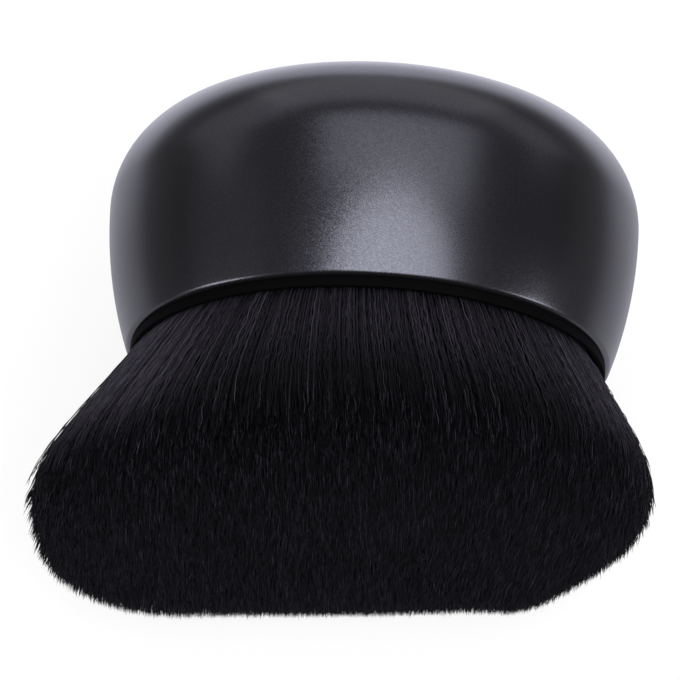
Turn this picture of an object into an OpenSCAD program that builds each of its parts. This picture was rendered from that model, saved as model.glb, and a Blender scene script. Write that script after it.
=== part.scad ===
// Kabuki makeup brush with a squat domed handle and a dense round head of bristles.
// It lies on its side, on the belly of the handle and on the flattened underside of its bristles:
// the bristles point to -Y, the flat end of the handle to +Y, and the table is at Z = 0.
// Each piece is drawn standing on the handle's flat end, then laid down by lying().

/* [Handle] */
// Widest diameter of the handle, at its belly
belly_d = 60; // [58:1:72]
// How far the neck draws in from the belly to the rim, on each side
neck_in = 2.875; // [1.5:0.125:5]
// Length of the handle from its flat end to its rim
handle_h = 27.5; // [26:0.5:34]
// Radius of the rounded edge between the flat end and the belly
edge_r = 11; // [8:0.5:12]
// Rounding of the rim's outer edge
lip_r = 0.7; // [0.3:0.1:0.9]
// Thickness of the handle's wall at the rim
rim_wall = 1.6; // [1.3:0.1:2.2]
// Depth of the socket that takes the ferrule cup
socket_depth = 13.5; // [11:0.5:14]
// Thickness of the flat end, under the weight
end_wall = 4; // [2.5:0.5:4.5]

/* [Weight] */
// Diameter of the steel weight in the handle
weight_d = 28; // [20:1:32]
// Thickness of the steel weight
weight_t = 7; // [4:0.5:8]
// Thickness of the adhesive pad under the weight
pad_t = 0.8; // [0.4:0.1:1.2]
// Gap between the weight and the wall of its pocket
pocket_gap = 0.3; // [0.2:0.1:0.6]

/* [Ferrule] */
// Wall of the aluminium ferrule cup
cup_wall = 0.6; // [0.5:0.1:0.9]
// Gap between the ferrule cup and the socket
cup_gap = 0.1; // [0.05:0.05:0.2]
// Height of the cup's collar, the dark ring that shows between the handle and the bristles
collar_h = 1.2; // [0.8:0.1:2]
// Step from the handle's outer edge in to the collar
collar_step = 0.4; // [0.2:0.1:0.6]
// Thickness of the collar's edge, where the cup's mouth opens out
collar_edge = 0.5; // [0.3:0.1:0.8]
// How much the cup's mouth and the socket's mouth widen, at 45 degrees
mouth_flare = 0.7; // [0.4:0.1:0.8]
// Width of the band of glue round the cup
glue_w = 7; // [4:0.5:9]
// Thickness of the band of glue
glue_t = 0.7; // [0.4:0.1:1]

/* [Bristle roots] */
// Depth of the bristle roots below the collar's edge
root_recess = 1.5; // [1.3:0.1:2.2]
// Thickness of each backing slice that holds bristle roots
slice_t = 2; // [1.5:0.5:3]
// Width of the cord wound round the roots
binding_w = 3.5; // [2:0.5:4]
// Thickness of the wound cord
binding_t = 0.8; // [0.5:0.1:1]
// Gap between the outermost backing slice and the cup
slice_gap = 0.2; // [0.1:0.05:0.3]

/* [Bristle head] */
// Widest diameter of the bristle head
head_d = 70; // [64:1:74]
// Distance from the handle's rim to the widest part of the head
head_reach = 16.3; // [14:0.1:22]
// Height of the domed tips above the widest part of the head
dome_h = 8; // [5:0.5:10]
// How far the tips lean to the left
tip_lean = 2.3; // [0:0.1:3]
// Angle by which the tips reach further on the left than on the right
tip_slant = 3; // [0:0.5:6]
// Rings of strands round the central one
strand_rings = 10; // [10:1:11]
// Share of the space between neighbours that a strand fills
strand_fill = 0.8; // [0.6:0.05:0.85]
// Length of each strand's pointed tip
point_l = 3.5; // [2:0.5:5]
// How far the pointed tips turn in, as a share of their distance from the middle
tip_turn = 0.05; // [0:0.01:0.08]
// Depth of the flat where the head rests on the table
flat_depth = 0.5; // [0.3:0.1:1]

/* [Hidden] */
$fn = 96;
// Overshoot of a cut past the face that it opens
over = 1;

belly_r = belly_d / 2;
rim_r = belly_r - neck_in;
neck_rise = handle_h - edge_r;
// Radius of the arc that draws the handle in from its belly to its rim
neck_r = (neck_rise * neck_rise + neck_in * neck_in) / (2 * neck_in);
// Centre of the rim's rounding, which touches the neck's arc and the rim's face
lip_s = handle_h - lip_r;
lip_x = belly_r - neck_r + sqrt(pow(neck_r - lip_r, 2) - pow(lip_s - edge_r, 2));
lip_touch_s = edge_r + (lip_s - edge_r) * neck_r / (neck_r - lip_r);

socket_r = rim_r - rim_wall;
socket_s = handle_h - socket_depth;
pocket_r = weight_d / 2 + pocket_gap;
weight_s = end_wall + pad_t;

cup_r = socket_r - cup_gap;
cup_in_r = cup_r - cup_wall;
collar_r = rim_r - collar_step;
collar_s = handle_h + collar_h;
glue_s = socket_s + (socket_depth - glue_w) / 2;
flare_s = handle_h - mouth_flare;

root_s = collar_s - root_recess;
slice_s = root_s - slice_t;
plug_s = socket_s + cup_wall;
binding_s = slice_s - binding_w;
slice_r = cup_in_r - slice_gap;
// Distance between neighbouring rings of strands, at the roots
root_pitch = slice_r / (strand_rings + 0.5);
root_half = strand_fill * root_pitch / 2;

head_r = head_d / 2;
widest_s = handle_h + head_reach;
// The head's underside is pressed flat at the height of the handle's belly
under_r = belly_r + flat_depth;
head_half = strand_fill * under_r / (strand_rings + 0.5) / 2;
// Shapes of the head's pressed underside and of its dome: 2 is an ellipse, more is squarer
under_power = 3.4;
dome_power = 2.5;
// Strand lengths differ by this much either way
length_spread = 0.5;
length_seed = 7;
// Depth of a strand's root in its backing slice
root_sink = 0.2;
// Each ring of strands is turned on from the one inside it, by this share of a strand's space
ring_turn = 0.38;
// Shares of the rings that end the core tuft and the tuft round it
core_share = 0.5;
middle_share = 0.8;
core_rings = floor(strand_rings * core_share);
middle_rings = floor(strand_rings * middle_share);

overall_l = widest_s + dome_h + length_spread;

// Radius of the widest outline of the head in the direction a
function outline_r(a) =
    let (under = sin(a) < 0, n = under ? under_power : 2, half_h = under ? under_r : head_r)
    pow(pow(abs(cos(a)) / head_r, n) + pow(abs(sin(a)) / half_h, n), -1 / n);

// Place along the brush where a strand ends, at the share rho of the outline and at x across the head
function tip_s(rho, x) =
    widest_s + dome_h * pow(1 - pow(rho, dome_power), 1 / dome_power) - x * tan(tip_slant);

// Four corners of a strand round the point p, with one side facing outwards in the direction a
function strand_ring(p, a, half) =
    [for (corner = [45 : 90 : 315]) p + half * sqrt(2) * [cos(a + corner), sin(a + corner), 0]];

// Triangles of the strand's side between its corners i and j: two up to the shoulder, one to the tip
function strand_side(i, j) = [[i, i + 4, j + 4], [i, j + 4, j], [i + 4, 8, j + 4]];

module lying() {
    translate([tip_lean, overall_l / 2, belly_r]) rotate([90, 0, 0]) children();
}

// Half of the handle's outline: flat end, rounded edge, drawn-in neck and rounded rim
module handle_outline() {
    square([belly_r - edge_r, edge_r]);
    intersection() {
        translate([belly_r - edge_r, edge_r]) circle(r = edge_r);
        translate([belly_r - edge_r, 0]) square(edge_r);
    }
    intersection() {
        translate([belly_r - neck_r, edge_r]) circle(r = neck_r);
        translate([0, edge_r]) square([belly_r, lip_touch_s - edge_r]);
    }
    translate([0, edge_r]) square([lip_x, neck_rise]);
    translate([lip_x, lip_s]) circle(r = lip_r);
}

// A ring or a disc with its lower face at s
module ring_at(s, h, outer_r, inner_r = 0) {
    translate([0, 0, s]) difference() {
        cylinder(r = outer_r, h = h);
        if (inner_r > 0) translate([0, 0, -over]) cylinder(r = inner_r, h = h + 2 * over);
    }
}

// Widening of the round mouth of radius r, up to the handle's rim
module mouth_cone(r) {
    translate([0, 0, flare_s]) cylinder(r1 = r, r2 = r + mouth_flare, h = mouth_flare);
}

// One strand: its root is sunk in the backing slice, it widens to its shoulder and ends in a point
module strand(ring, a, stretch) {
    rho = ring / (strand_rings + 0.5);
    side = [cos(a), sin(a), 0];
    reach = rho * outline_r(a);
    end_s = tip_s(rho, reach * cos(a)) + stretch;
    root = root_pitch * ring * side + [0, 0, root_s - root_sink];
    shoulder = reach * side + [-tip_lean, 0, end_s - point_l];
    tip = (1 - tip_turn) * reach * side + [-tip_lean, 0, end_s];
    polyhedron(
        points = concat(strand_ring(root, a, root_half), strand_ring(shoulder, a, head_half), [tip]),
        faces = concat([[0, 1, 2], [0, 2, 3]], [for (i = [0 : 3]) each strand_side(i, (i + 1) % 4)])
    );
}

// Strands of the rings from first to last, fused to their slice of the backing
module tuft(first, last) {
    color([0.06, 0.06, 0.07]) lying() difference() {
        union() {
            ring_at(slice_s, slice_t, last == strand_rings ? slice_r : root_pitch * (last + 0.5),
                    first == 0 ? 0 : root_pitch * (first - 0.5));
            for (ring = [first : last]) {
                count = max(1, 6 * ring);
                stretch = rands(-length_spread, length_spread, count, length_seed + ring);
                for (i = [0 : count - 1]) strand(ring, 360 * (i + ring_turn * ring) / count, stretch[i]);
            }
        }
        translate([-head_d, -belly_r - head_r, 0]) cube([2 * head_d, head_r, 2 * overall_l]);
    }
}

module handle_body() {
    color([0.10, 0.10, 0.12]) lying() difference() {
        rotate_extrude() handle_outline();
        translate([0, 0, socket_s]) cylinder(r = socket_r, h = socket_depth + over);
        translate([0, 0, end_wall]) cylinder(r = pocket_r, h = handle_h);
        mouth_cone(socket_r);
        ring_at(glue_s, glue_w, cup_r + glue_t);
    }
}

module handle_weight() {
    color([0.55, 0.56, 0.58]) lying() ring_at(weight_s, weight_t, weight_d / 2);
}

module weight_pad() {
    color([0.85, 0.85, 0.80]) lying() ring_at(end_wall, pad_t, weight_d / 2);
}

// Cup with a flat bottom, whose mouth opens out into the collar on the handle's rim
module ferrule_cup() {
    color([0.05, 0.05, 0.06]) lying() difference() {
        union() {
            ring_at(socket_s, socket_depth, cup_r);
            mouth_cone(cup_r);
            ring_at(handle_h, collar_h, collar_r);
        }
        ring_at(plug_s, socket_depth + collar_h + over, cup_in_r);
        translate([0, 0, flare_s])
            cylinder(r1 = cup_in_r, r2 = collar_r - collar_edge, h = mouth_flare + collar_h);
    }
}

module cup_glue() {
    color([0.75, 0.70, 0.55]) lying() ring_at(glue_s, glue_w, cup_r + glue_t, cup_r);
}

module resin_plug() {
    color([0.70, 0.62, 0.42]) lying() {
        ring_at(plug_s, binding_s - plug_s, cup_in_r);
        ring_at(binding_s, binding_w, cup_in_r - binding_t);
    }
}

module root_binding() {
    color([0.82, 0.80, 0.74]) lying() ring_at(binding_s, binding_w, cup_in_r, cup_in_r - binding_t);
}

module tuft_core() { tuft(0, core_rings); }
module tuft_middle() { tuft(core_rings + 1, middle_rings); }
module tuft_outer() { tuft(middle_rings + 1, strand_rings); }

handle_body();
handle_weight();
weight_pad();
ferrule_cup();
cup_glue();
resin_plug();
root_binding();
tuft_core();
tuft_middle();
tuft_outer();
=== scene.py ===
import math
from types import SimpleNamespace

import bpy
import numpy as np
from mathutils import Matrix, Vector


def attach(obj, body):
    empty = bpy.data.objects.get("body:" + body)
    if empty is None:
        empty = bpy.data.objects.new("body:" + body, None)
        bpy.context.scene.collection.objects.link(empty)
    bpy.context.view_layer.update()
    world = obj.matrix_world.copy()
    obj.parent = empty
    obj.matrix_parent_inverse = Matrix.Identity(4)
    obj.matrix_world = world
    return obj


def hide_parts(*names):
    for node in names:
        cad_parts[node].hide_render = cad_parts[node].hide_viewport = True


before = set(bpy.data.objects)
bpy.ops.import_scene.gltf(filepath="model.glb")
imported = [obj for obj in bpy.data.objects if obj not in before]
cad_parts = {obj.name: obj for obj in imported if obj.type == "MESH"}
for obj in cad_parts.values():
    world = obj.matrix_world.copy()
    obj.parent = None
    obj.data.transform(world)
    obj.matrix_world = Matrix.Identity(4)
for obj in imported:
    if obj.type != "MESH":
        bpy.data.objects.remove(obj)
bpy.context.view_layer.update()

MM = 0.001

# Sizes of the brush, the same as in the part's source. s runs along it from the handle's flat end
BELLY_R = 30 * MM
RIM_R = 27.125 * MM
HANDLE_H = 27.5 * MM
EDGE_R = 11 * MM
LIP_R = 0.7 * MM
RIM_WALL = 1.6 * MM
SOCKET_DEPTH = 13.5 * MM
END_WALL = 4 * MM
POCKET_R = 14.3 * MM
CUP_GAP = 0.1 * MM
CUP_WALL = 0.6 * MM
COLLAR_H = 1.2 * MM
COLLAR_STEP = 0.4 * MM
COLLAR_EDGE = 0.5 * MM
MOUTH_FLARE = 0.7 * MM
GLUE_W = 7 * MM
GLUE_T = 0.7 * MM
BINDING_W = 3.5 * MM
BINDING_T = 0.8 * MM
SLICE_T = 2 * MM
ROOT_RECESS = 1.5 * MM
SLICE_GAP = 0.2 * MM
HEAD_REACH = 16.3 * MM
DOME_H = 8 * MM
TIP_LEAN = 2.3 * MM
TIP_SLANT = math.radians(3)
LENGTH_SPREAD = 0.5 * MM

SOCKET_R = RIM_R - RIM_WALL
SOCKET_S = HANDLE_H - SOCKET_DEPTH
CUP_R = SOCKET_R - CUP_GAP
CUP_IN_R = CUP_R - CUP_WALL
COLLAR_R = RIM_R - COLLAR_STEP
COLLAR_S = HANDLE_H + COLLAR_H
FLARE_S = HANDLE_H - MOUTH_FLARE
GLUE_S = SOCKET_S + (SOCKET_DEPTH - GLUE_W) / 2
PLUG_S = SOCKET_S + CUP_WALL
ROOT_S = COLLAR_S - ROOT_RECESS
SLICE_S = ROOT_S - SLICE_T
BINDING_S = SLICE_S - BINDING_W
ROOT_R = CUP_IN_R - SLICE_GAP
WIDEST_S = HANDLE_H + HEAD_REACH
OVERALL_L = WIDEST_S + DOME_H + LENGTH_SPREAD

# The camera that the photograph was taken with, as fitted to the handle's outline
LOOK_AT = Vector((-0.92, 1.09, 30)) * MM
CAMERA_AZIMUTH = 0.04722
CAMERA_ELEVATION = 1.21187
CAMERA_DISTANCE = 600 * MM
CAMERA_LENS = 282.04


def lying(x, y, s):
    """Where a point of the standing brush is when the brush lies on its side on the table."""
    return np.stack([x + TIP_LEAN, OVERALL_L / 2 - s, y + BELLY_R], axis=-1)


# Materials


class Signal:
    """A socket of a material's nodes. Python's operators on it add Math or Vector Math nodes."""

    def __init__(self, finish, socket):
        self.finish = finish
        self.socket = socket

    def operate(self, operation, *terms):
        signals = [term for term in terms if isinstance(term, Signal)]
        coloured = any(term.socket.type in ("RGBA", "VECTOR") for term in signals)
        kind = "ShaderNodeVectorMath" if coloured else "ShaderNodeMath"
        if coloured:
            terms = [term if isinstance(term, Signal) or np.ndim(term) else (term,) * 3 for term in terms]
        return self.finish.node(kind, {"operation": operation}, dict(enumerate(terms)))

    def __add__(self, other):
        return self.operate("ADD", self, other)

    __radd__ = __add__

    def __mul__(self, other):
        return self.operate("MULTIPLY", self, other)

    __rmul__ = __mul__

    def __sub__(self, other):
        return self.operate("SUBTRACT", self, other)

    def __rsub__(self, other):
        return self.operate("SUBTRACT", other, self)

    def __pow__(self, power):
        return self.operate("POWER", self, power)

    def also(self, output):
        """Another output of the node that this one comes from."""
        return Signal(self.finish, self.socket.node.outputs[output])

    def between(self, low, high):
        """0 at low and 1 at high, with a soft ramp between them."""
        settings = {"interpolation_type": "SMOOTHSTEP"}
        sockets = {"Value": self, "From Min": low, "From Max": high}
        return self.finish.node("ShaderNodeMapRange", settings, sockets)

    def blend(self, first, second):
        """The first colour where this value is 0 and the second where it is 1."""
        sockets = {"Factor": self, 6: (*first, 1), 7: (*second, 1)}
        return self.finish.node("ShaderNodeMix", {"data_type": "RGBA"}, sockets, output=2)


class Finish:
    """A material under construction."""

    def __init__(self, name):
        self.material = bpy.data.materials.new(name)
        self.material.use_nodes = True
        self.tree = self.material.node_tree
        self.tree.nodes.clear()

    def node(self, kind, settings=None, sockets=None, output=0):
        """Adds a node with its settings, then its sockets' values or links, and gives one of its outputs."""
        made = self.tree.nodes.new(kind)
        for name, value in (settings or {}).items():
            setattr(made, name, value)
        for name, value in (sockets or {}).items():
            if isinstance(value, Signal):
                self.tree.links.new(value.socket, made.inputs[name])
            else:
                made.inputs[name].default_value = value
        return Signal(self, made.outputs[output]) if made.outputs else None

    def place(self, stretch=(1, 1, 1)):
        """The surface's place in metres, stretched by a factor along each axis."""
        return self.node("ShaderNodeTexCoord", output="Object") * stretch

    def noise(self, size, detail=2, place=None):
        """Soft noise whose blobs have this size in metres."""
        sockets = {"Vector": place or self.place(), "Scale": 1 / size, "Detail": detail}
        return self.node("ShaderNodeTexNoise", None, sockets)

    def cells(self, size):
        """Cells of this size in metres, each with a colour of its own."""
        sockets = {"Vector": self.place(), "Scale": 1 / size}
        return self.node("ShaderNodeTexVoronoi", None, sockets, "Color")

    def red(self, colour):
        """One channel of a random colour, as a random value."""
        return self.node("ShaderNodeSeparateColor", None, {"Color": colour})

    def bump(self, height, depth):
        """Normals of a surface whose height from 0 to 1 stands for this depth in metres."""
        return self.node("ShaderNodeBump", None, {"Height": height, "Distance": depth, "Strength": 1})

    def surface(self, **sockets):
        """A Principled shader. The names of its sockets are written with underscores."""
        named = {name.replace("_", " "): value for name, value in sockets.items()}
        return self.node("ShaderNodeBsdfPrincipled", None, named)

    def finished(self, shader):
        self.node("ShaderNodeOutputMaterial", None, {"Surface": shader})
        return self.material


def pearl_lacquer():
    """Black lacquer with fine pearl flakes, which shine when seen face on and go dark when seen aslant."""
    finish = Finish("pearl_lacquer")
    flakes = finish.cells(0.085 * MM)
    flake = finish.red(flakes)
    cloud = finish.noise(9 * MM)
    peel = finish.noise(1.6 * MM, detail=1)
    facing = finish.node("ShaderNodeLayerWeight", None, {"Blend": 0.5}, output="Facing")
    flop = (1 - facing) ** 4
    black = finish.surface(
        Base_Color=cloud.blend((0.0060, 0.0058, 0.0068), (0.0075, 0.0072, 0.0085)),
        Roughness=0.24 + 0.05 * cloud,
        Specular_IOR_Level=0.5,
        Specular_Tint=(0.84, 0.84, 1, 1),
        Normal=finish.bump(peel, 0.0012 * MM),
    )
    tilted = finish.node("ShaderNodeNewGeometry", output="Normal") + 0.08 * (flakes - 0.5)
    pearl = finish.surface(
        Base_Color=flake.blend((0.50, 0.50, 0.62), (0.68, 0.69, 0.86)),
        Metallic=1.0,
        Roughness=0.24 + 0.05 * flake,
        Normal=tilted.operate("NORMALIZE", tilted),
    )
    share = flop * (0.075 + 0.055 * flake ** 2)
    return finish.finished(finish.node("ShaderNodeMixShader", None, {0: share, 1: black, 2: pearl}))


def anodised_black():
    """Black anodised aluminium with fine turning lines."""
    finish = Finish("anodised_black")
    lines = finish.noise(0.12 * MM, place=finish.place((0.02, 1, 0.02)))
    patch = finish.noise(4 * MM)
    shader = finish.surface(
        Base_Color=patch.blend((0.0011, 0.0010, 0.0013), (0.0019, 0.0018, 0.0022)),
        Roughness=0.72 + 0.12 * patch,
        Specular_IOR_Level=0.04,
        Normal=finish.bump(lines, 0.004 * MM),
    )
    return finish.finished(shader)


def bristle_black():
    """Fine black fibre, with painted light: lighter towards its root and on the head's left and right
    flanks. Each bristle has its own shade.
    """
    finish = Finish("bristle_black")
    strand = finish.node("ShaderNodeUVMap", {"uv_map": "strand"})
    across = finish.node("ShaderNodeSeparateXYZ", None, {"Vector": strand})
    column = across.operate("FLOOR", SHADES * across)
    own = finish.node("ShaderNodeTexWhiteNoise", {"noise_dimensions": "1D"}, {"W": column})
    along = across.also("Y")
    # Painted light: the bristles are lighter from the root to about a third of their length, as if lit near
    # the rim, and fade to dark by the tips
    painted_root_light = along.between(0.86, 0.30)
    # Painted light: the head's left and right flanks are lighter towards the roots, the left more than the
    # right, as if lit from the sides
    sideways = finish.node("ShaderNodeSeparateXYZ", None, {"Vector": finish.place()}) - 5 * MM
    painted_flank_light = sideways.operate("ABSOLUTE", sideways).between(16 * MM, 30 * MM) * along.between(1.0, 0.6)
    # The colour mixes the painted light near the roots and on the flanks with each bristle's own random tone
    # and a few lighter tips
    shade = painted_root_light * (0.24 + 0.75 * own ** 3) + 0.65 * painted_flank_light + 1.1 * own ** 12 * along.between(0.6, 0.95)
    shader = finish.surface(
        Base_Color=shade.blend((0.0013, 0.0011, 0.0018), (0.0620, 0.0560, 0.0750)),
        Roughness=0.40 + 0.2 * own,
        Specular_IOR_Level=0.18,
        Specular_Tint=(0.84, 0.80, 1, 1),
    )
    return finish.finished(shader)


def packed_bristles():
    """The dark mass of packed fibres between the outer bristles, streaked along the brush."""
    finish = Finish("packed_bristles")
    streaks = finish.noise(0.2 * MM, detail=3, place=finish.place((1, 0.04, 1)))
    shader = finish.surface(
        Base_Color=streaks.between(0.35, 0.7).blend((0.0015, 0.0014, 0.0018), (0.005, 0.0048, 0.006)),
        Roughness=0.7 + 0.2 * streaks,
        Specular_IOR_Level=0.1,
        Normal=finish.bump(streaks, 0.1 * MM),
    )
    return finish.finished(shader)


def turned_steel():
    """Bare steel with turning lines."""
    finish = Finish("turned_steel")
    lines = finish.noise(0.1 * MM, place=finish.place((1, 0.05, 1)))
    shader = finish.surface(
        Base_Color=lines.blend((0.38, 0.38, 0.40), (0.52, 0.52, 0.53)),
        Metallic=1.0,
        Roughness=0.3 + 0.15 * lines,
        Normal=finish.bump(lines, 0.01 * MM),
    )
    return finish.finished(shader)


def grained(name, dark, light, size, depth, roughness):
    """A dull material with soft grain of one size, for the pieces hidden in the handle."""
    finish = Finish(name)
    grain = finish.noise(size, detail=4)
    shader = finish.surface(
        Base_Color=grain.between(0.3, 0.7).blend(dark, light),
        Roughness=roughness + 0.1 * grain,
        Normal=finish.bump(grain, depth),
    )
    return finish.finished(shader)


# Mesh code


def joined(name, vertices, corners, starts, totals, material):
    """A smooth mesh from arrays: its vertices, the corners of its faces, and where each face starts."""
    mesh = bpy.data.meshes.new(name)
    mesh.vertices.add(len(vertices))
    mesh.vertices.foreach_set("co", np.asarray(vertices, np.float32).ravel())
    mesh.loops.add(len(corners))
    mesh.loops.foreach_set("vertex_index", np.asarray(corners, np.int32))
    mesh.polygons.add(len(starts))
    mesh.polygons.foreach_set("loop_start", np.asarray(starts, np.int32))
    mesh.polygons.foreach_set("loop_total", np.asarray(totals, np.int32))
    mesh.polygons.foreach_set("use_smooth", np.ones(len(starts), bool))
    mesh.update(calc_edges=True)
    mesh.materials.append(material)
    piece = bpy.data.objects.new(name, mesh)
    bpy.context.scene.collection.objects.link(piece)
    return piece


def map_faces(piece, name, places):
    """Gives a piece a UV map, from one place per corner."""
    layer = piece.data.uv_layers.new(name=name)
    layer.uv.foreach_set("vector", np.asarray(places, np.float32).ravel())


def arc(centre, radius, start, end, steps):
    """Points (radius, s) of an arc in a turned piece's outline, between two angles in degrees."""
    angles = np.radians(np.linspace(start, end, steps + 1))
    return [(centre[0] + radius * math.cos(a), centre[1] + radius * math.sin(a)) for a in angles]


def turned(name, outline, material):
    """A piece turned on a lathe, from its outline of points (radius, s) that starts and ends on the axis."""
    around = 256
    turn = np.linspace(0, 2 * math.pi, around, endpoint=False)
    rings = [lying(r * np.cos(turn), r * np.sin(turn), np.full(around, s)) for r, s in outline]
    rings = [ring[:1] if r == 0 else ring for (r, s), ring in zip(outline, rings)]
    firsts = np.cumsum([0] + [len(ring) for ring in rings])
    run = np.cumsum([0] + [math.dist(a, b) for a, b in zip(outline, outline[1:])])
    run /= run[-1]
    corners, totals, places = [], [], []
    for k in range(len(rings) - 1):
        for i in range(around):
            j = (i + 1) % around
            lower = [firsts[k] + i, firsts[k] + j] if len(rings[k]) > 1 else [firsts[k]]
            upper = [firsts[k + 1] + j, firsts[k + 1] + i] if len(rings[k + 1]) > 1 else [firsts[k + 1]]
            corners += lower + upper
            totals.append(len(lower) + len(upper))
            ends = [(i / around, run[k]), ((i + 1) / around, run[k])][:len(lower)]
            places += ends + [((i + 1) / around, run[k + 1]), (i / around, run[k + 1])][:len(upper)]
    starts = np.cumsum([0] + totals[:-1])
    piece = joined(name, np.concatenate(rings), corners, starts, totals, material)
    piece.data.set_sharp_from_angle(angle=math.radians(30))
    map_faces(piece, "OFBake", places)
    return piece


def shown(piece, slot, *nodes):
    """Fixes a piece to the brush in place of its CAD nodes."""
    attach(piece, "root")
    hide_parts(*nodes)


# The handle and the ferrule


def handle_outline():
    neck_rise = HANDLE_H - EDGE_R
    neck_in = BELLY_R - RIM_R
    neck_r = (neck_rise ** 2 + neck_in ** 2) / (2 * neck_in)
    lip_s = HANDLE_H - LIP_R
    lip_x = BELLY_R - neck_r + math.sqrt((neck_r - LIP_R) ** 2 - (lip_s - EDGE_R) ** 2)
    touch = math.degrees(math.asin((lip_s - EDGE_R) / (neck_r - LIP_R)))
    groove = CUP_R + GLUE_T
    return (
        [(0, 0), (6 * MM, 0), (12 * MM, 0)]
        + arc((BELLY_R - EDGE_R, EDGE_R), EDGE_R, -90, 0, 28)
        + arc((BELLY_R - neck_r, EDGE_R), neck_r, 0, touch, 28)[1:]
        + arc((lip_x, lip_s), LIP_R, touch, 90, 10)[1:]
        + [(SOCKET_R + MOUTH_FLARE, HANDLE_H), (SOCKET_R, FLARE_S), (SOCKET_R, GLUE_S + GLUE_W)]
        + [(groove, GLUE_S + GLUE_W), (groove, GLUE_S), (SOCKET_R, GLUE_S), (SOCKET_R, SOCKET_S)]
        + [(POCKET_R, SOCKET_S), (POCKET_R, END_WALL), (0, END_WALL)]
    )


def cup_outline():
    soft = 0.15 * MM
    lip_r = COLLAR_R - COLLAR_EDGE
    return (
        [(0, SOCKET_S), (CUP_R - soft, SOCKET_S), (CUP_R, SOCKET_S + soft), (CUP_R, FLARE_S)]
        + [(CUP_R + MOUTH_FLARE, HANDLE_H), (COLLAR_R - soft, HANDLE_H)]
        + arc((COLLAR_R - soft, HANDLE_H + soft), soft, -90, 0, 3)[1:]
        + arc((COLLAR_R - soft, COLLAR_S - soft), soft, 0, 90, 3)
        + [(lip_r, COLLAR_S), (CUP_IN_R, FLARE_S), (CUP_IN_R, PLUG_S), (0, PLUG_S)]
    )


def root_cord():
    """The cord wound round the bristle roots, as the turns of one helix."""
    turns = round(BINDING_W / BINDING_T)
    steps_a_turn = 72
    sides = 8
    cord_r = BINDING_T / 2
    along = np.linspace(0, 1, turns * steps_a_turn + 1)
    angle = 2 * math.pi * turns * along
    middle_r = CUP_IN_R - cord_r
    s = BINDING_S + cord_r + (BINDING_W - BINDING_T) * along
    corner = np.linspace(0, 2 * math.pi, sides, endpoint=False)
    reach = middle_r + cord_r * np.cos(corner)[None, :]
    rings = lying(
        reach * np.cos(angle)[:, None],
        reach * np.sin(angle)[:, None],
        s[:, None] + cord_r * np.sin(corner)[None, :],
    )
    ring, side = np.meshgrid(np.arange(len(along) - 1), np.arange(sides), indexing="ij")
    after = (side + 1) % sides
    low = ring * sides
    corners = np.stack([low + side, low + after, low + sides + after, low + sides + side], -1)
    starts = np.arange(ring.size) * 4
    totals = [4] * ring.size
    cord = grained("twisted_cord", (0.5, 0.47, 0.38), (0.78, 0.75, 0.66), 0.25 * MM, 0.08 * MM, 0.8)
    return joined("root_cord", rings.reshape(-1, 3), corners.ravel(), starts, totals, cord)


# The bristles

# The head's own outline: its radius, and how square its curves are above, below and over the tips
HEAD_R = 34.6 * MM
UPPER_POWER = 2.1
UNDER_POWER = 3.4
UNDER_LOPSIDE = 0.95
DOME_POWER = 3.6

# Where the tips are fuller: by how much, at what place across the brush, and how wide
RIGHT_SHOULDER = (1.3 * MM, 21.5 * MM, 5 * MM)
LEFT_SHOULDER = (0.65 * MM, -23 * MM, 8 * MM)


def outline_r(angle):
    """Radius of the head's widest outline: round above, and pressed flat against the table below."""
    under = np.sin(angle) < 0
    power = np.where(under, UNDER_POWER - UNDER_LOPSIDE * np.cos(angle), UPPER_POWER)
    height = np.where(under, BELLY_R, HEAD_R)
    across = np.abs(np.cos(angle) / HEAD_R) ** power
    return (across + np.abs(np.sin(angle) / height) ** power) ** (-1 / power)


def fuller(x, shoulder):
    """How much further the tips reach at a shoulder."""
    height, middle, width = shoulder
    return height * np.exp(-((x - middle) / width) ** 2)


def tip_s(share, x):
    """Where along the brush a bristle ends, from its share of the head's outline and its place across.
    The dome is a little fuller at both shoulders than in the middle."""
    dome = np.sqrt(np.clip(1 - share ** DOME_POWER, 0, 1))
    shoulders = fuller(x, RIGHT_SHOULDER), fuller(x, LEFT_SHOULDER)
    return WIDEST_S + DOME_H * dome + shoulders[0] + shoulders[1] - x * math.tan(TIP_SLANT)


# The bristles: how many, how thick, and how long their points, their visible ends and their crimps are
LOCKS = 20000
PER_LOCK = 3
HAIR_SIDES = 3
BRISTLE_R = 0.058 * MM
TAPER_L = 1.8 * MM
STUB_L = 5.5 * MM
CRIMP_L = 2.9 * MM
CRIMP_RISE = 4 * MM

# How the bristles of a lock differ. The first two are shares of the space between locks
LOCK_JITTER = 0.3
LOCK_WIDTH = 0.5
GATHER = 0.25
LOCK_LEAN = 0.12 * MM
OWN_LEAN = 0.15 * MM
STRAY_SHARE = 0.0015
STRAY_LEAN = 8
CRIMP = 0.08 * MM
CURL = 0.15 * MM
LONGER = 0.3 * MM
LOCK_LENGTH = 0.08 * MM
OWN_LENGTH = 0.14 * MM
SHORTEST = -1.1 * MM
LONGEST = 0.9 * MM
ROOT_SWAY = 0.12
OUTERMOST = 1.004

# How a bristle spreads on its way to the tip: its bulge, and its spring out of the collar
BULGE = 0.55
SPRING = 0.06
SPRING_REACH = 0.07

# The packed mass under the bristles: its share of the head's outline, how much closer it comes at the tips,
# and its gaps
MASS_SHARE = 0.945
MASS_CLOSER = 0.03
MASS_DEPTH = 1.3 * MM
MASS_LIFT = 0.9 * MM

# How the bristles are parted into pieces. Each shade has its own column of their map
SHADES = 80
PIECE_FACES = 190000
CORE_SHARE = 5.5 / 10.5
MIDDLE_SHARE = 8.5 / 10.5
SIDE_SHARE = 0.94


def flare(t):
    """How far a bristle has spread from its root (0) to the head's outline (1), at a share of its length.
    It springs out of the collar, runs nearly straight and then rounds over."""
    spring = SPRING * (1 - np.exp(-t / SPRING_REACH)) * (1 - t)
    return t + BULGE * t ** 2 * (t - t ** 2) + spring


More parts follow.
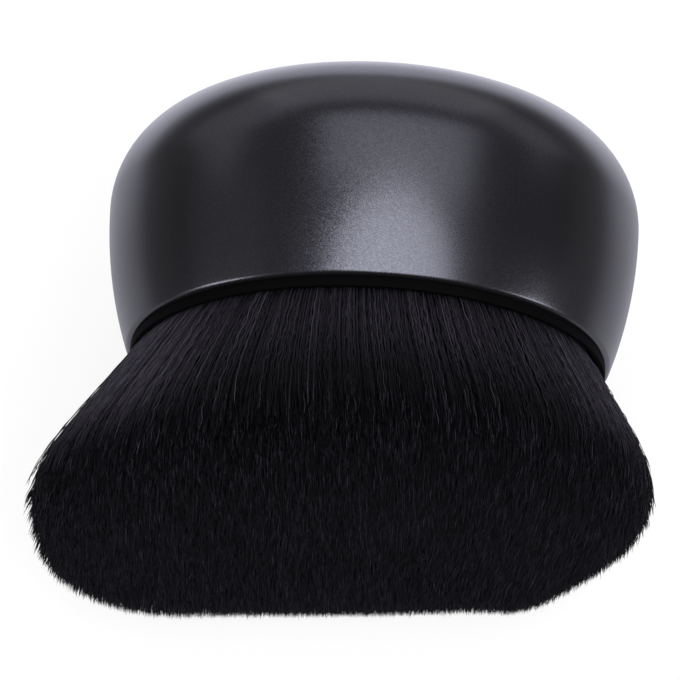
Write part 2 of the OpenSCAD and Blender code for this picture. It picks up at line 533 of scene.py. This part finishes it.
def comb():
    """All bristles: their places on a disc of radius 1, lock by lock, and what makes each one differ."""
    rng = np.random.default_rng(11)
    spacing = math.sqrt(math.pi / LOCKS)
    lock = np.arange(LOCKS)
    reach = np.sqrt((lock + 0.5) / LOCKS)
    turn = lock * math.pi * (3 - math.sqrt(5))
    centre = np.stack([reach * np.cos(turn), reach * np.sin(turn)], 1)
    centre += rng.normal(0, LOCK_JITTER * spacing, centre.shape)
    count = LOCKS * PER_LOCK
    each = np.repeat(lock, PER_LOCK)
    share = np.linalg.norm(centre, axis=1)
    centre *= np.minimum(1, (2 - share) / share)[:, None]
    stray = np.where(rng.random(count) < STRAY_SHARE, STRAY_LEAN, 1)[:, None]
    return SimpleNamespace(
        centre=centre[each],
        offset=rng.normal(0, LOCK_WIDTH * spacing, (count, 2)),
        lean=rng.normal(0, LOCK_LEAN, (LOCKS, 2))[each] + rng.normal(0, OWN_LEAN, (count, 2)) * stray,
        crimp=rng.normal(0, CRIMP, (count, 2)),
        phase=rng.uniform(0, 1, count),
        pace=rng.uniform(0.7, 1.4, count),
        curl=rng.normal(0, CURL, (count, 2)),
        length=LONGER + rng.normal(0, LOCK_LENGTH, LOCKS)[each] + rng.normal(0, OWN_LENGTH, count),
        thick=rng.uniform(0.7, 1.15, count),
        turn=rng.uniform(0, 2 * math.pi, count),
        shade=rng.integers(0, SHADES, count),
        share=np.linalg.norm(centre, axis=1)[each],
    )


def chosen(hairs, which):
    """The bristles of a part of the head."""
    return SimpleNamespace(**{name: values[which] for name, values in vars(hairs).items()})


def grow(hairs, reach_down, rings):
    """Paths of bristles from reach_down below their tips, or from their roots, to their tips."""
    rest = np.linspace(0, 1, rings)
    share = np.linalg.norm(hairs.centre, axis=1)
    width = outline_r(np.arctan2(hairs.centre[:, 1], hairs.centre[:, 0]))
    end = tip_s(share, width * hairs.centre[:, 0]) + np.clip(hairs.length, SHORTEST, LONGEST)
    length = end - ROOT_S
    start = np.clip(1 - reach_down / length, 0, 1)
    t = start[:, None] + (1 - start)[:, None] * rest[None, :]
    sideways = 1 - hairs.centre[:, 0] ** 2
    swayed = hairs.centre - ROOT_SWAY * np.stack([sideways, np.zeros_like(sideways)], axis=1)
    swayed *= (share / np.linalg.norm(swayed, axis=1))[:, None]
    spot = swayed[:, None, :] + (hairs.centre - swayed)[:, None, :] * t[..., None]
    spot += hairs.offset[:, None, :] * (1 - GATHER * t)[..., None]
    spot *= np.minimum(1, OUTERMOST / np.linalg.norm(spot, axis=2))[..., None]
    width = outline_r(np.arctan2(spot[..., 1], spot[..., 0]))
    out = length[:, None] * t
    widest = WIDEST_S - ROOT_S - width * hairs.centre[:, :1] * math.tan(TIP_SLANT)
    scale = ROOT_R + (width - ROOT_R) * flare((t + out / widest) / 2)
    swing = np.sin(2 * math.pi * (hairs.pace[:, None] * out / CRIMP_L + hairs.phase[:, None]))
    swing *= np.minimum(1, out / CRIMP_RISE)
    drift = hairs.lean[:, None, :] * t[..., None] + hairs.crimp[:, None, :] * swing[..., None]
    drift += hairs.curl[:, None, :] * (t ** 6)[..., None]
    place = spot * scale[..., None] + drift
    s = ROOT_S + out
    mouth = CUP_IN_R + (COLLAR_R - COLLAR_EDGE - CUP_IN_R) * (s - FLARE_S) / (COLLAR_S - FLARE_S)
    limit = np.where(s < COLLAR_S, mouth - BRISTLE_R, HEAD_R * 2)
    place *= np.minimum(1, limit / np.linalg.norm(place, axis=2))[..., None]
    x = place[..., 0] - TIP_LEAN * t
    y = np.maximum(place[..., 1], -BELLY_R + BRISTLE_R)
    return lying(x, y, s), length[:, None] * (1 - t), t


def bristles(name, hairs, reach_down, rings, material, *nodes):
    """A piece of many bristles, each a thin tapered tube of three sides that ends in a point."""
    paths, left, t = grow(hairs, reach_down, rings)
    count = len(paths)
    run = np.gradient(paths, axis=1)
    run /= np.linalg.norm(run, axis=2, keepdims=True)
    side = np.cross(run, (0, 0, 1))
    side /= np.linalg.norm(side, axis=2, keepdims=True)
    lift = np.cross(side, run)
    radius = BRISTLE_R * hairs.thick[:, None] * np.sqrt(np.clip(left / TAPER_L, 0, 1))
    angle = hairs.turn[:, None] + 2 * math.pi / HAIR_SIDES * np.arange(HAIR_SIDES)[None, :]
    angle = angle[:, None, :, None]
    out = side[:, :-1, None] * np.cos(angle) + lift[:, :-1, None] * np.sin(angle)
    tube = paths[:, :-1, None] + out * radius[:, :-1, None, None]
    vertices = np.concatenate([tube.reshape(count, -1, 3), paths[:, -1:]], axis=1)
    vertices[..., 2] = np.maximum(vertices[..., 2], 0)

    per_hair = vertices.shape[1]
    corners, totals, across, along = [], [], [], []
    for ring in range(rings - 2):
        low, high = HAIR_SIDES * ring, HAIR_SIDES * (ring + 1)
        for k in range(HAIR_SIDES):
            after = (k + 1) % HAIR_SIDES
            corners += [low + k, low + after, high + after, high + k]
            across += [k, k + 1, k + 1, k]
            along += [ring, ring, ring + 1, ring + 1]
            totals.append(4)
    last = HAIR_SIDES * (rings - 2)
    for k in range(HAIR_SIDES):
        corners += [last + k, last + (k + 1) % HAIR_SIDES, per_hair - 1]
        across += [k, k + 1, k + 0.5]
        along += [rings - 2, rings - 2, rings - 1]
        totals.append(3)
    corners = np.array(corners)[None, :] + per_hair * np.arange(count)[:, None]
    totals = np.tile(totals, count)
    starts = np.concatenate([[0], np.cumsum(totals)[:-1]])
    piece = joined(name, vertices.reshape(-1, 3), corners.ravel(), starts, totals, material)
    u = (hairs.shade[:, None] + 0.05 + 0.3 * np.array(across)) / SHADES
    v = 0.02 + 0.96 * t[:, np.array(along)]
    for layer in ("strand", "OFBake"):
        map_faces(piece, layer, np.stack([u, v], -1).reshape(-1, 2))
    shown(piece, "bristle_black", *nodes)


def bristle_mass(material):
    """The packed fibres under the bristles that show, with their backing in the ferrule cup."""
    around = 144
    turn = np.linspace(0, 2 * math.pi, around, endpoint=False)
    width = outline_r(turn)
    lowest = -BELLY_R + MASS_LIFT
    layers = []
    for backing_r in (ROOT_R * 0.6, ROOT_R * 1.0):
        layers.append(lying(backing_r * np.cos(turn), backing_r * np.sin(turn), np.full(around, SLICE_S)))
    for t in np.linspace(0.1, 0.86, 12):
        reach = (MASS_SHARE + MASS_CLOSER * t ** 4) * (ROOT_R + (width - ROOT_R) * flare(t))
        x = reach * np.cos(turn) - TIP_LEAN * t
        y = np.maximum(reach * np.sin(turn), lowest)
        s = ROOT_S + (WIDEST_S - width * np.cos(turn) * math.tan(TIP_SLANT) - ROOT_S) * t
        layers.append(lying(x, y, s))
    for share in (0.97, 0.93, 0.87, 0.78, 0.66, 0.52, 0.36, 0.18):
        reach = (MASS_SHARE + MASS_CLOSER) * share * width
        s = tip_s(share, reach * np.cos(turn)) - MASS_DEPTH
        y = np.maximum(reach * np.sin(turn), lowest)
        layers.append(lying(reach * np.cos(turn) - TIP_LEAN, y, s))
    ends = [layers[0].mean(0, keepdims=True), layers[-1].mean(0, keepdims=True)]
    vertices = np.concatenate(layers + ends)
    corners, totals = [], []
    bottom, top = len(vertices) - 2, len(vertices) - 1
    last = (len(layers) - 1) * around
    for i in range(around):
        j = (i + 1) % around
        corners += [bottom, j, i]
        corners += [last + i, last + j, top]
        totals += [3, 3]
        for k in range(len(layers) - 1):
            corners += [k * around + i, k * around + j, (k + 1) * around + j, (k + 1) * around + i]
            totals.append(4)
    starts = np.cumsum([0] + totals[:-1])
    piece = joined("bristle_mass", vertices, corners, starts, totals, material)
    shown(piece, "bristle_black", "tuft_core", "tuft_middle", "tuft_outer")


def build_head():
    fibre = bristle_black()
    hairs = comb()
    share = hairs.share
    core = chosen(hairs, share < CORE_SHARE)
    middle = chosen(hairs, (share >= CORE_SHARE) & (share < MIDDLE_SHARE))
    inner = chosen(hairs, (share >= MIDDLE_SHARE) & (share < SIDE_SHARE))
    side = chosen(hairs, share >= SIDE_SHARE)
    groups = [
        ("core_bristles", core, STUB_L, 6, "tuft_core"),
        ("middle_bristles", middle, STUB_L, 6, "tuft_middle"),
        ("outer_bristles", inner, 2 * STUB_L, 11, "tuft_outer"),
        ("side_bristles", side, 1, 32, "tuft_outer"),
    ]
    for name, group, reach_down, rings, node in groups:
        triangles = len(group.share) * 2 * HAIR_SIDES * rings
        parts = 1 + triangles // PIECE_FACES
        angle = np.arctan2(group.centre[:, 1], group.centre[:, 0]) + math.pi
        part = np.floor(angle / (2 * math.pi) * parts).astype(int) % parts
        for k in range(parts):
            bristles(f"{name}_{k + 1}", chosen(group, part == k), reach_down, rings, fibre, node)
    bristle_mass(packed_bristles())


# The table, the lights and the camera


# The table: half its side, how bright it looks, and where its painted pool of light for reflections ends and
# is full
TABLE_HALF = 3.0
TABLE_GLOW = 0.84
POOL_END = 0.13
POOL_FULL = 0.07


def table():
    """A plain white table with the brush's faint shadow. Other rays see a painted pool of light around the
    brush alone, brighter towards the back.
    """
    finish = Finish("white_table")
    camera = finish.node("ShaderNodeLightPath", output="Is Camera Ray")
    mirrored = camera.also("Is Glossy Ray") + camera.also("Is Transmission Ray")
    bounced = mirrored + camera.also("Is Diffuse Ray")
    place = finish.place()
    back = finish.node("ShaderNodeSeparateXYZ", None, {"Vector": place}, "Y")
    reach = finish.node("ShaderNodeVectorMath", {"operation": "LENGTH"}, {0: place * (1, 0.2, 0)}, "Value")
    # Painted light: a glowing pool around the brush, brighter towards the back, seen by reflected and
    # bounced rays
    painted_back_light = 0.6 + 1.05 * back.between(0.02, 0.08) + back.between(0.1, 0.4)
    painted_light_pool = reach.between(POOL_END, POOL_FULL) * painted_back_light
    dull = finish.node("ShaderNodeBsdfDiffuse", None, {"Color": (0.2, 0.2, 0.2, 1)})
    strength = TABLE_GLOW * camera + painted_light_pool * bounced
    tint = camera.blend((0.85, 0.85, 1), (1, 1, 1))
    glow = finish.node("ShaderNodeEmission", None, {"Color": tint, "Strength": strength})
    paper = finish.finished(finish.node("ShaderNodeAddShader", None, {0: dull, 1: glow}))
    signs = ((-1, -1), (1, -1), (1, 1), (-1, 1))
    corners = [(x * TABLE_HALF, y * TABLE_HALF, 0) for x, y in signs]
    joined("table", corners, [0, 1, 2, 3], [0], [4], paper)


def softbox(name, offset, width, depth, radiance, shape="RECTANGLE"):
    """A lamp that faces the brush from this offset in metres. Its width runs along X."""
    away = Vector(offset).normalized()
    across = Vector((1, 0, 0))
    across = (across - across.dot(away) * away).normalized()
    data = bpy.data.lights.new(name, "AREA")
    data.shape = shape
    data.size = width
    data.size_y = depth
    data.energy = radiance * math.pi * width * depth * (math.pi / 4 if shape == "ELLIPSE" else 1)
    lamp = bpy.data.objects.new(name, data)
    lamp.matrix_world = Matrix((across, away.cross(across), away)).transposed().to_4x4()
    lamp.location = LOOK_AT + Vector(offset)
    lamp.visible_camera = False
    bpy.context.scene.collection.objects.link(lamp)


def studio():
    """Soft light from above the front, dim panels round the back and left, and low strips at the sides."""
    world = bpy.data.worlds.new("studio")
    world.use_nodes = True
    world.node_tree.nodes["Background"].inputs["Color"].default_value = (0.10, 0.10, 0.10, 1)
    bpy.context.scene.world = world
    softbox("key_softbox", (0.14, -0.34, 0.84), 0.92, 0.96, 3.6, "ELLIPSE")
    softbox("back_panel", (0.15, 0.36, 0.90), 1.15, 0.53, 1.15)
    softbox("back_wall", (0, 1.2, 0.42), 1.6, 0.86, 0.92)
    softbox("left_wall", (-1.2, -0.1, 0.5), 0.9, 0.9, 0.15)
    softbox("left_corner", (-0.90, 0.72, 0.36), 0.85, 0.72, 0.60)
    softbox("right_corner", (0.86, 0.74, 0.24), 0.75, 0.46, 0.62)
    softbox("left_strip", (-0.83, -0.53, 0.15), 0.4, 0.26, 8.0)
    softbox("right_strip", (0.93, -0.36, 0.12), 0.35, 0.22, 9.0)


def photograph_camera():
    data = bpy.data.cameras.new("camera")
    data.sensor_width = 36
    data.lens = CAMERA_LENS
    data.clip_start = 0.01
    camera = bpy.data.objects.new("camera", data)
    level = math.cos(CAMERA_ELEVATION)
    away = Vector((
        math.sin(CAMERA_AZIMUTH) * level,
        -math.cos(CAMERA_AZIMUTH) * level,
        math.sin(CAMERA_ELEVATION),
    ))
    camera.location = LOOK_AT + CAMERA_DISTANCE * away
    camera.rotation_euler = (-away).to_track_quat("-Z", "Y").to_euler()
    bpy.context.scene.collection.objects.link(camera)
    bpy.context.scene.camera = camera


def main():
    photograph_camera()
    table()
    studio()

    shown(turned("handle", handle_outline(), pearl_lacquer()), "handle_lacquer", "handle_body")
    shown(turned("collar_cup", cup_outline(), anodised_black()), "ferrule_black", "ferrule_cup")
    shown(root_cord(), "binding_cord", "root_binding")
    build_head()

    foam = grained("adhesive_foam", (0.58, 0.58, 0.54), (0.78, 0.78, 0.74), 0.4 * MM, 0.05 * MM, 0.75)
    glue = grained("cured_glue", (0.50, 0.43, 0.28), (0.66, 0.60, 0.43), 2 * MM, 0.03 * MM, 0.3)
    resin = grained("root_resin", (0.36, 0.27, 0.13), (0.52, 0.42, 0.23), 1.5 * MM, 0.03 * MM, 0.3)
    hidden = {"handle_weight": turned_steel(), "weight_pad": foam, "cup_glue": glue, "resin_plug": resin}
    for node, material in hidden.items():
        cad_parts[node].data.materials.clear()
        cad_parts[node].data.materials.append(material)

    bpy.context.scene.view_settings.view_transform = "Standard"


main()
